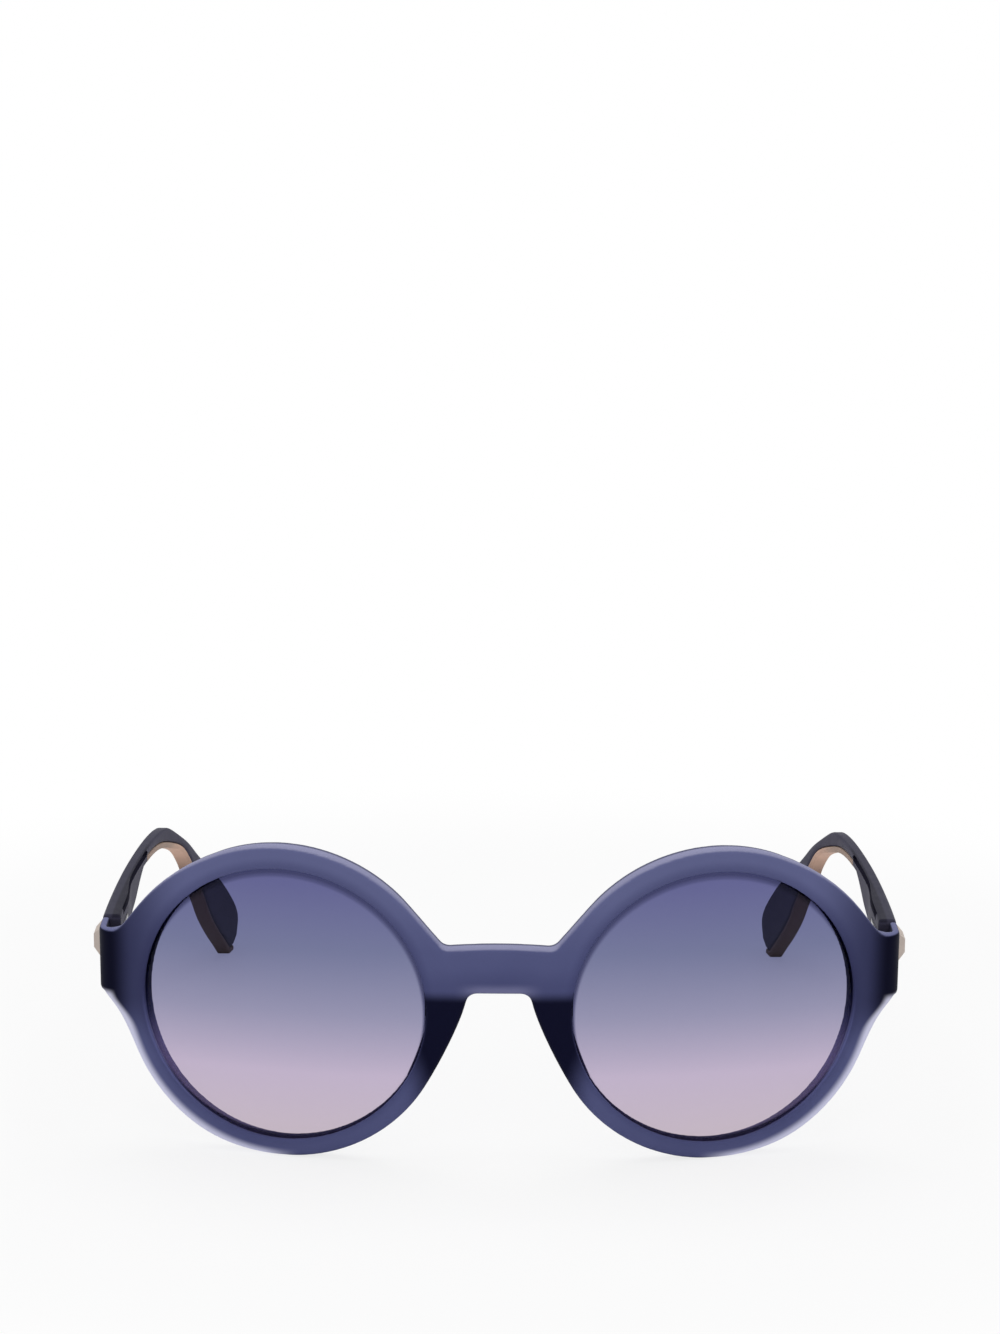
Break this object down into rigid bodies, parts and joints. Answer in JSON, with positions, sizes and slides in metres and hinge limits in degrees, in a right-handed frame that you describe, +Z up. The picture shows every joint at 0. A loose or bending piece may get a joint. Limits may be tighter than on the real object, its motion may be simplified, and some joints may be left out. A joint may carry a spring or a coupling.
{
  "type": "sunglasses",
  "caption": "Round sunglasses with a moulded plastic front, gradient tinted lenses, folding temples with curved ear tips, tan strips and tan plaques at the hinges.",
  "frame": {"origin": "bottom centre of the bounding box, on the floor between the rims and the temple tips", "axes": "+Z up, the front faces -Y, the temples run back towards +Y, the wearer's right side is at -X"},
  "size_m": [0.1534, 0.143, 0.0618],
  "materials": {
    "front_plastic": "frosted translucent navy, paler where light comes through the lower rims",
    "temple_plastic": "satin dark navy",
    "tan_plastic": "satin tan",
    "lens_tint": "polished, blue at the top fading to pink at the bottom",
    "hinge_metal": "bright metal"
  },
  "bodies": {
    "front": {"frame_front": "front_plastic", "lens_left": "lens_tint", "lens_right": "lens_tint", "front_hinge_left": "hinge_metal", "front_hinge_right": "hinge_metal", "hinge_pin_left": "hinge_metal", "hinge_pin_right": "hinge_metal", "front_leaf_screw_lower_left": "hinge_metal", "front_leaf_screw_lower_right": "hinge_metal", "front_leaf_screw_upper_left": "hinge_metal", "front_leaf_screw_upper_right": "hinge_metal"},
    "left_temple": {"temple_left": "temple_plastic", "tip_strip_left": "tan_plastic", "side_plaque_left": "tan_plastic", "temple_hinge_left": "hinge_metal", "temple_leaf_screw_front_left": "hinge_metal", "temple_leaf_screw_rear_left": "hinge_metal"},
    "right_temple": {"temple_right": "temple_plastic", "tip_strip_right": "tan_plastic", "side_plaque_right": "tan_plastic", "temple_hinge_right": "hinge_metal", "temple_leaf_screw_front_right": "hinge_metal", "temple_leaf_screw_rear_right": "hinge_metal"}
  },
  "joints": [
    {"name": "left_fold", "type": "hinge", "parent": "front", "child": "left_temple", "pos_m": [-0.0693, -0.04775, 0.0359], "axis": [0, 0, -1], "range_deg": [0, 86]},
    {"name": "right_fold", "type": "hinge", "parent": "front", "child": "right_temple", "pos_m": [0.0693, -0.04775, 0.0359], "axis": [0, 0, 1], "range_deg": [0, 82]}
  ]
}
